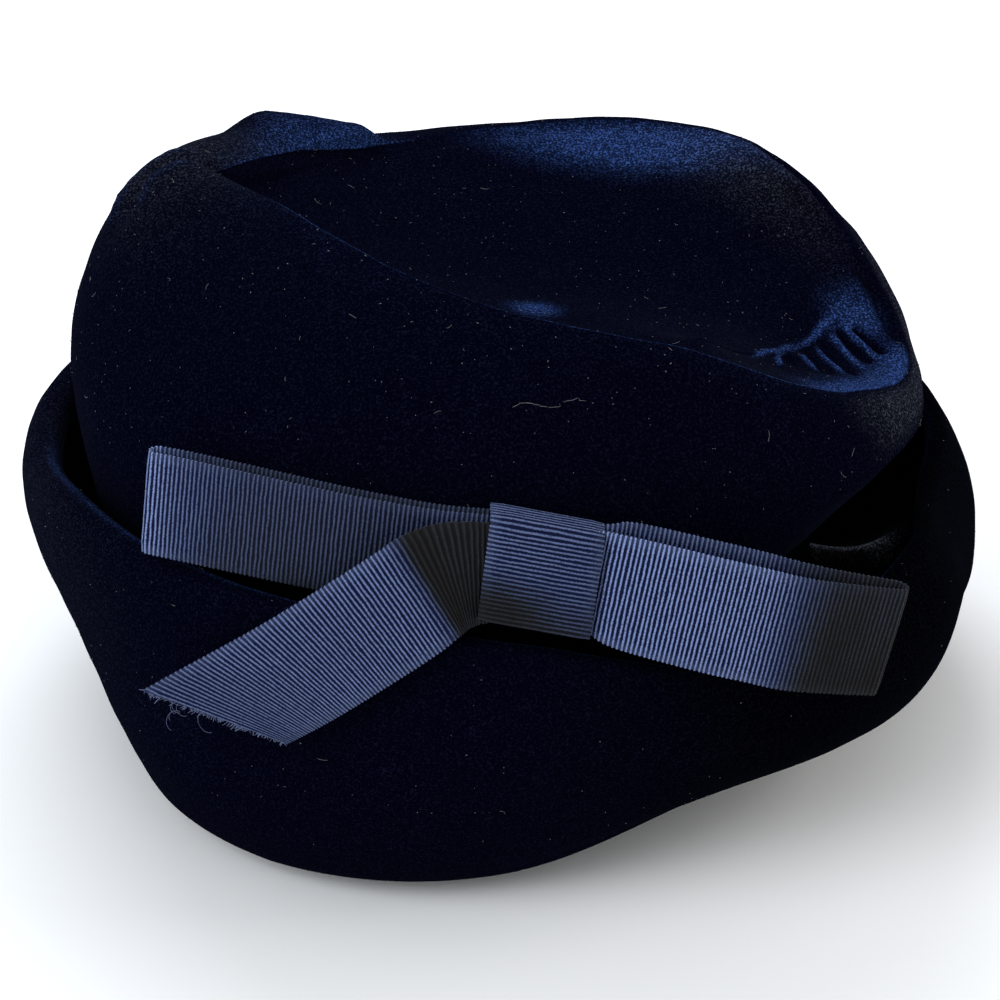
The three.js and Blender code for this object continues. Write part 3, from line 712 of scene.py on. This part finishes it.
# Painted shade: the right of the brim is painted nearly black, away from the ridge and the tuck.
shaded_side = np.maximum(smooth((turns - 272) / 34), smooth((70 - turns) / 40))
brim_shade = 0.85 * shaded_side * (1 - ridge_line) * (1 - np.clip(1.5 * tuck, 0, 1))
brim = merged(
    "brim_velvet", brim_grid.reshape(-1, 3), looped_faces(*brim_grid.shape[:2]),
    {"blue_highlight": brim_highlight, "grey_sheen": brim_grey_sheen, "painted_shade": brim_shade, "backing": 0 * brim_highlight},
)
brim.data.materials.append(velvet)
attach(brim, "root")
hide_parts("brim")


# Bow: one length of ribbed ribbon 25 mm wide, folded into two flat loops and a tail and sewn to
# the front of the crown. Its ribs run across it, and bulge a little at its edges.
RIBBON_WIDTH, RIBBON_CLOTH = 25, 0.62
RIB_PITCH, RIB_HEIGHT, EDGE_BULGE, STRAY = 1.03, 0.26, 0.3, 0.05
LEFT_LOOP, RIGHT_LOOP, TAIL_LENGTH, TAIL_SLANT = 85, 77, 80, 22
# Points of the mesh: along each rib's pitch, and across the ribbon.
RIB_STEPS, ACROSS = 8, 10
# Rows go from the knot to the end. Shares of the piece's length along, out and (for the tail) up,
# and of the ribbon's width for the rise, gap and width of a loop; lean back and tilt to the right
# of the ribs in degrees; shine is painted light: how pale and blue the ribs are painted there.
LEFT = table("along out rise gap width lean tilt shine", [
    [0.080, 0.006, 0.02, 0.060, 0.84, 4, 7, 0.14],
    [0.150, 0.010, 0.03, 0.058, 0.90, 5, 7, 0.14],
    [0.280, 0.025, 0.06, 0.060, 0.88, 6, 7, 0.14],
    [0.500, 0.065, 0.13, 0.075, 0.90, 6, 7, 0.14],
    [0.760, 0.145, 0.19, 0.085, 0.92, 6, 7, 0.17],
    [0.900, 0.195, 0.21, 0.085, 0.93, 6, 7, 0.40],
    [0.975, 0.220, 0.22, 0.080, 0.93, 6, 7, 0.85],
])
RIGHT = table("along out rise gap width lean tilt shine", [
    [0.075, 0.004, -0.05, 0.058, 0.82, 0, 9, 0.70],
    [0.155, 0.004, -0.11, 0.068, 0.92, 2, 9, 0.78],
    [0.230, -0.008, -0.17, 0.150, 1.02, 4, 10, 0.84],
    [0.470, -0.010, -0.38, 0.17, 1.05, 5, 11, 0.84],
    [0.590, -0.004, -0.49, 0.17, 1.05, 5, 11, 0.80],
    [0.690, 0.003, -0.59, 0.16, 1.05, 5, 11, 0.22],
    [0.790, 0.014, -0.67, 0.13, 1.04, 5, 11, 0.02],
    [0.960, 0.045, -0.80, 0.08, 1.03, 4, 12, 0.00],
])
TAIL = table("along out rise width lean tilt shine", [
    [0.055, -0.030, -0.004, 0.86, 2, 3, 0.00],
    [0.155, -0.036, 0.000, 0.94, 3, 0, 0.00],
    [0.225, -0.052, 0.000, 0.99, 5, -13, 0.00],
    [0.285, -0.070, -0.018, 1.00, 9, -28, 0.02],
    [0.340, -0.080, -0.058, 1.00, 13, -31, 0.52],
    [0.450, -0.085, -0.138, 1.00, 16, -32, 0.55],
    [0.650, -0.066, -0.290, 1.00, 19, -33, 0.48],
    [0.880, -0.018, -0.462, 1.00, 20, -34, 0.34],
])


def along(column, t):
    """A column of an open table, from its first row at 0 to its last at 1."""
    ends = np.concatenate([[2 * column[0] - column[1]], column, [2 * column[-1] - column[-2]]])
    spot = np.clip(t, 0, 1) * (len(column) - 1)
    k = np.minimum(np.floor(spot).astype(int), len(column) - 2)
    a, b, c, d = (ends[k + step] for step in (0, 1, 2, 3))
    return catmull_rom(a, b, c, d, spot - k)


def unit(v):
    return v / np.linalg.norm(v, axis=-1, keepdims=True)


def spine(rows, length, side, rise_unit, count=90):
    """Points along a ribbon piece, and the way its ribs point, its width and its shine there."""
    t = np.linspace(0, 1, count)
    point = KNOT_PLACE + np.stack([
        side * length * along(rows["along"], t),
        length * along(rows["out"], t),
        rise_unit * along(rows["rise"], t),
    ], axis=-1)
    lean, tilt = np.radians(along(rows["lean"], t)), np.radians(along(rows["tilt"], t))
    up = np.stack([np.sin(tilt), np.sin(lean) * np.cos(tilt), np.cos(lean) * np.cos(tilt)], axis=-1)
    return point, up, along(rows["width"], t), along(rows["shine"], t)


def ribbed(name, point, up, width, shine, slant=0.0, closed=False):
    """A ribbon along a path, with a round rib every RIB_PITCH and scalloped edges."""
    travel = np.concatenate([[0], np.cumsum(np.linalg.norm(np.diff(point, axis=0), axis=1))])
    ribs = int(round(travel[-1] / RIB_PITCH))
    count = ribs * RIB_STEPS
    s = np.linspace(0, travel[-1], count + 1)[: count if closed else count + 1]

    def at(values):
        return np.stack([np.interp(s, travel, column) for column in values.T], axis=-1)

    centre, up, width = at(point), unit(at(up)), np.interp(s, travel, width)
    if closed:
        ahead = unit(np.roll(centre, -1, axis=0) - np.roll(centre, 1, axis=0))
    else:
        ahead = unit(np.gradient(centre, axis=0))
    face = unit(np.cross(up, ahead))
    rib = np.abs(np.sin(np.pi * s / travel[-1] * ribs))
    w = np.linspace(-0.5, 0.5, ACROSS + 1)
    drift = slant * (s / travel[-1]) ** 3
    spread = (width * RIBBON_WIDTH)[:, None] * w
    spread[:, [0, -1]] += np.outer(rib, [-EDGE_BULGE, EDGE_BULGE])
    middle = centre[:, None] + up[:, None] * spread[..., None]
    middle = middle + ahead[:, None] * (drift[:, None] * w)[..., None]
    ripple = np.random.default_rng(len(name)).normal(size=(len(s) // RIB_STEPS + 1, ACROSS + 1))
    ripple = np.repeat(ripple, RIB_STEPS, axis=0)[:len(s), :, None]
    middle = middle + ahead[:, None] * STRAY * ripple
    thick = RIBBON_CLOTH / 2 + RIB_HEIGHT * (rib[:, None] - 0.5) * np.where(abs(w) > 0.49, 0.2, 1)
    thick[:, [0, -1]] *= 0.7
    front = middle + face[:, None] * thick[..., None]
    rear = middle - face[:, None] * thick[..., None]
    loop = np.concatenate([front, rear[:, ::-1]], axis=1)
    n, m = loop.shape[:2]
    faces = looped_faces(n, m)
    if not closed:
        faces = faces[:(n - 1) * m]
        faces.append(list(range(m - 1, -1, -1)))
        faces.append([(n - 1) * m + k for k in range(m)])
    faces = [face_corners[::-1] for face_corners in faces]
    strand = np.repeat(rib[:, None], m, axis=1)
    selvedge = np.tile(np.r_[1, np.zeros(ACROSS - 1), 1, 1, np.zeros(ACROSS - 1), 1], (n, 1))
    gloss = at(shine if shine.ndim > 1 else np.repeat(shine[:, None], ACROSS + 1, axis=1))
    gloss = np.concatenate([gloss, gloss[:, ::-1]], axis=1)
    painted = {"rib": strand, "selvedge": selvedge, "shine": gloss}
    piece = merged(name, loop.reshape(-1, 3), faces, painted)
    return piece, middle, travel[-1]


def loop_path(rows, length, side):
    """The back layer out from the knot, round the fold, and the front layer back again."""
    point, up, width, shine = spine(rows, length, side, RIBBON_WIDTH)
    ahead = unit(np.gradient(point, axis=0))
    apart = unit(np.cross(up, ahead)) * side
    gap = (along(rows["gap"], np.linspace(0, 1, len(point))) * RIBBON_WIDTH)[:, None]
    bend = np.radians(np.linspace(0, 180, 14)[1:-1])[:, None]
    fold = point[-1] + ahead[-1] * gap[-1] * np.sin(bend) + apart[-1] * gap[-1] * np.cos(bend)
    points = np.concatenate([point + apart * gap, fold, (point - apart * gap)[::-1]])
    ups = np.concatenate([up, np.repeat(up[-1:], len(fold), axis=0), up[::-1]])
    widths = np.concatenate([width, np.repeat(width[-1:], len(fold)), width[::-1]])
    # Painted shade on the back layer, which gets less shine, and a painted highlight towards the top edge.
    shines = np.concatenate([shine * 0.45, np.repeat(shine[-1:], len(fold)), shine[::-1]])
    brighter_top = np.linspace(-0.05, 0.05, ACROSS + 1)
    return points, ups, widths, np.clip(shines[:, None] + brighter_top, 0, 1)


def ribbon_finish(name):
    """Slate blue ribbed ribbon: a painted highlight along the top of each rib and painted shade in the
    grooves, paler and bluer where the painted shine is high.
    """
    ribbon = Finish(
        name, Roughness=0.8, Specular_IOR_Level=0.1,
        Sheen_Weight=0.03, Sheen_Roughness=0.4, Sheen_Tint=(0.7, 0.8, 1.0, 1),
    )
    rib, selvedge, shine = (ribbon.painted(name) for name in ("rib", "selvedge", "shine"))
    fibre = ribbon.noise(2300, 2)
    cloudy = ribbon.noise(60, 3)
    # Painted highlight along the top of each rib; the grooves get painted shade.
    top = ribbon.steps(rib + (fibre - 0.5) * 0.5, 0.62, 1.04) * (0.55 + 0.6 * fibre + 0.35 * cloudy)
    top = top + selvedge * 0.15
    # The painted shine, with a cloudy mottle.
    shine_and_mottle = shine + (cloudy - 0.5) * 0.12
    # Painted shade: rib tops and grooves go dull grey where the shine is low, blue and pale where it is
    # high.
    dark_blue = ribbon.steps(shine_and_mottle, 0.02, 0.12)
    dull = ribbon.blend(dark_blue, (0.011, 0.0105, 0.0105, 1), (0.012, 0.017, 0.036, 1))
    pale = ribbon.blend(shine_and_mottle, dull, (0.205, 0.272, 0.520, 1))
    deep = ribbon.steps(shine_and_mottle, 0.03, 0.30)
    groove = ribbon.blend(deep, (0.0035, 0.0035, 0.0040, 1), (0.0012, 0.0038, 0.0260, 1))
    ribbon.set(
        Base_Color=ribbon.blend(top, groove, pale),
        Normal=ribbon.bump(fibre, 0.0003, 0.6),
    )
    return ribbon.material


def sew_on(piece, node, length):
    piece.data.materials.append(ribbon)
    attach(piece, "root")
    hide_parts(node)
    length * MM


ribbon = ribbon_finish("slate_ribbon")
for node, side, rows, length in (
    ("bow_loop_left", -1, LEFT, LEFT_LOOP), ("bow_loop_right", 1, RIGHT, RIGHT_LOOP),
):
    piece, _, run = ribbed(node + "_ribbon", *loop_path(rows, length, side))
    sew_on(piece, node, run)
tail, tail_middle, run = ribbed(
    "bow_tail_ribbon", *spine(TAIL, TAIL_LENGTH, -1, TAIL_LENGTH), slant=TAIL_SLANT)
sew_on(tail, "bow_tail", run)


# Knot: a short band of the same ribbon wrapped round the inner ends of the loops and the tail and
# sewn together behind. Its ribs slope down a little to the right.
KNOT_HEIGHT, KNOT_FRONT, KNOT_BACK, KNOT_TILT, RIB_TILT = 24.6, 4.8, 3.4, 7, 12
KNOT_CORNERS = table("outward upward radius", [[1, 1, 1.8], [-1, 1, 2.6], [-1, -1, 1.8], [1, -1, 1.8]])
SET_BACK, KNOT_DROP, RIBBON_ROOM = 0.10, 0.8, 1.0
CORNER_POINTS = 9
FRONT_TOP = 2 * CORNER_POINTS
band = []
for k, start in enumerate((0, 90, 180, 270)):
    outward, upward, corner = (KNOT_CORNERS[name][k] for name in ("outward", "upward", "radius"))
    reach_out = KNOT_BACK if outward > 0 else KNOT_FRONT
    for turn in np.radians(np.linspace(start, start + 90, CORNER_POINTS)):
        y = outward * (reach_out - corner) + math.cos(turn) * (corner - RIBBON_ROOM / 2)
        z = upward * (KNOT_HEIGHT / 2 - corner) + math.sin(turn) * (corner - RIBBON_ROOM / 2)
        band.append((0, y + SET_BACK * z, z))
front_run = np.linspace(band[FRONT_TOP - 1], band[FRONT_TOP], 12)[1:-1].tolist()
band = np.array(band[:FRONT_TOP] + front_run + band[FRONT_TOP:])
tilt, rib_tilt = math.radians(KNOT_TILT), math.radians(RIB_TILT)
knot_points = KNOT_PLACE + np.stack([
    band[:, 2] * math.sin(tilt), band[:, 1], band[:, 2] * math.cos(tilt) - KNOT_DROP], axis=-1)
knot_points = np.concatenate([knot_points, knot_points[:1]])
rib_way = np.tile([math.cos(rib_tilt), 0, -math.sin(rib_tilt)], (len(knot_points), 1))
# Painted shade: the lower left of the knot is painted dull.
upper = smooth((knot_points[:, 2:] - KNOT_PLACE[2] + 14) / 17)
knot_shine = 0.38 * mix(upper**2, 1, smooth(np.linspace(-0.35, 1.2, ACROSS + 1))) * mix(0.2, 1, upper)
knot, _, run = ribbed(
    "bow_knot_ribbon", knot_points, rib_way, np.full(len(knot_points), 0.95), knot_shine, closed=True)
sew_on(knot, "bow_knot", run)


# Loose threads: the ribbon's own yarns. The tail's slanted cut isn't hemmed, so it has frayed into
# short ends and a few long curls that hang from it.
FRAYED_ENDS, CURLS = 190, 4


def strands(name, paths, radius, sides=5):
    """Thin round threads along paths of points in millimetres, as one mesh."""
    points, faces = [], []
    for path, thick in zip(paths, radius):
        ahead = unit(np.gradient(path, axis=0))
        across = unit(np.cross(ahead, [0.31, 0.52, 0.79]))
        other = np.cross(ahead, across)
        turn = np.linspace(0, 2 * math.pi, sides, endpoint=False)[:, None]
        taper = np.full(len(path), thick)
        taper[-1] *= 0.4
        base = len(points)
        for spot, a, b, size in zip(path, across, other, taper):
            points.extend(spot + size * (np.cos(turn) * a + np.sin(turn) * b))
        n = len(path)
        for i in range(n - 1):
            for j in range(sides):
                k = (j + 1) % sides
                faces.append([base + i * sides + j, base + i * sides + k,
                              base + (i + 1) * sides + k, base + (i + 1) * sides + j])
        faces.append([base + j for j in range(sides - 1, -1, -1)])
        faces.append([base + (n - 1) * sides + j for j in range(sides)])
    return merged(name, np.array(points), faces, {})


chance = np.random.default_rng(7)
cut = tail_middle[-1]
cut_ahead = unit(tail_middle[-1] - tail_middle[-8])
ends, thicknesses = [], []
for k in range(FRAYED_ENDS):
    spot = chance.uniform(0, ACROSS)
    i = min(int(spot), ACROSS - 1)
    start = mix(cut[i], cut[i + 1], spot - i) + chance.normal(size=3) * 0.12
    droop = mix(cut_ahead[i], np.array([0, -0.3, -0.8]), chance.uniform(0, 0.5))
    heading = unit(droop + chance.normal(size=3) * 0.35)
    long = chance.choice([0.5, 0.9, 1.6], p=[0.5, 0.4, 0.1]) * chance.uniform(0.6, 1.3)
    bow = chance.normal(size=3) * 0.3
    steps = np.linspace(-0.3, 1, 6)[:, None]
    ends.append(start + heading * long * steps + bow * steps**2)
    thicknesses.append(chance.uniform(0.05, 0.11))
for k in range(CURLS):
    i = chance.integers(4, ACROSS)
    curl, turns_made = chance.uniform(0.6, 1.4), chance.uniform(0.7, 1.7)
    steps = np.linspace(0, 1, 26)[:, None]
    swing = 2 * math.pi * turns_made * steps + chance.uniform(0, 6)
    fall = np.array([chance.uniform(-0.8, 0.8), -0.25, -1.0]) * chance.uniform(2.5, 5.5)
    round_it = np.concatenate([np.cos(swing), 0.2 * np.sin(swing), np.sin(swing)], axis=1)
    ends.append(cut[i] + fall * steps + curl * (round_it - round_it[0]) * smooth(steps * 2))
    thicknesses.append(0.045)
frayed = strands("frayed_threads", ends, thicknesses)
thread = Finish("frayed_thread", Roughness=0.8, Specular_IOR_Level=0.2)
thread.set(Base_Color=thread.blend(thread.noise(900), (0.03, 0.04, 0.09, 1), (0.14, 0.17, 0.30, 1)))
frayed.data.materials.append(thread.material)
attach(frayed, "root")


# Lint: pale dust fibres that cling to the pile of the velvet, strewn over the crown and the outer
# face of the brim, and two fine hairs on the front of the crown.
CROWN_LINT, BRIM_LINT, HAIR_POINTS = 900, 280, 24


def lint_on(grid, normals, rows, count, seed):
    """Short bent fibres lying on a grid's rows, at seeded places."""
    chance = np.random.default_rng(seed)
    areas = np.linalg.norm(grid_patches(grid)[:, slice(*rows)], axis=-1)
    picks = chance.choice(areas.size, count, p=areas.ravel() / areas.sum())
    made, sizes = [], []
    for i, j in zip(*np.unravel_index(picks, areas.shape)):
        j += rows[0]
        spot = grid[i, j] + normals[i, j] * 0.12
        across = unit(np.cross(normals[i, j], chance.normal(size=3)))
        other = np.cross(normals[i, j], across)
        size = chance.choice([0.2, 0.35, 0.9, 2.0], p=[0.66, 0.24, 0.07, 0.03]) * chance.uniform(0.7, 1.3)
        steps = np.linspace(-0.5, 0.5, 6)[:, None]
        bend = chance.uniform(-1.2, 1.2)
        bent = across * size * steps + other * size * bend * steps**2
        made.append(spot + bent + normals[i, j] * 0.05)
        sizes.append(0.045 if size > 0.6 else chance.uniform(0.05, 0.10))
    return made, sizes


def hair_on(first, last, height, wave):
    """A fine hair lying level on the crown's wall between two angles."""
    columns = np.searchsorted(angles[:, 0], np.linspace(first, last, HAIR_POINTS))
    heights = height + wave * np.sin(np.linspace(0, 9, HAIR_POINTS))
    start = BELLY_ROW + 14
    gaps = np.abs(crown_grid[columns, start:WALL_ROWS, 2] - heights[:, None])
    nearest = start + gaps.argmin(axis=1)
    path = crown_grid[columns, nearest] + normal[columns, nearest] * 0.25
    path[:, 2] = heights
    return path


crown_lint, crown_sizes = lint_on(crown_grid, normal, (BELLY_ROW, crown_grid.shape[1] - 4), CROWN_LINT, 21)
brim_lint, brim_sizes = lint_on(brim_grid, brim_normal, (OUT_ROW + 6, CAP_ROW + 12), BRIM_LINT, 22)
hairs = [hair_on(271.4, 281.2, 121.5, 0.55), hair_on(243, 246, 110, 0.8)]
lint = strands("lint", crown_lint + brim_lint + hairs, crown_sizes + brim_sizes + [0.055, 0.05], 4)
dust = Finish("lint", Roughness=0.9, Specular_IOR_Level=0.2)
dust.set(Base_Color=dust.blend(dust.noise(300), (0.03, 0.034, 0.05, 1), (0.21, 0.21, 0.205, 1)))
lint.data.materials.append(dust.material)
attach(lint, "root")
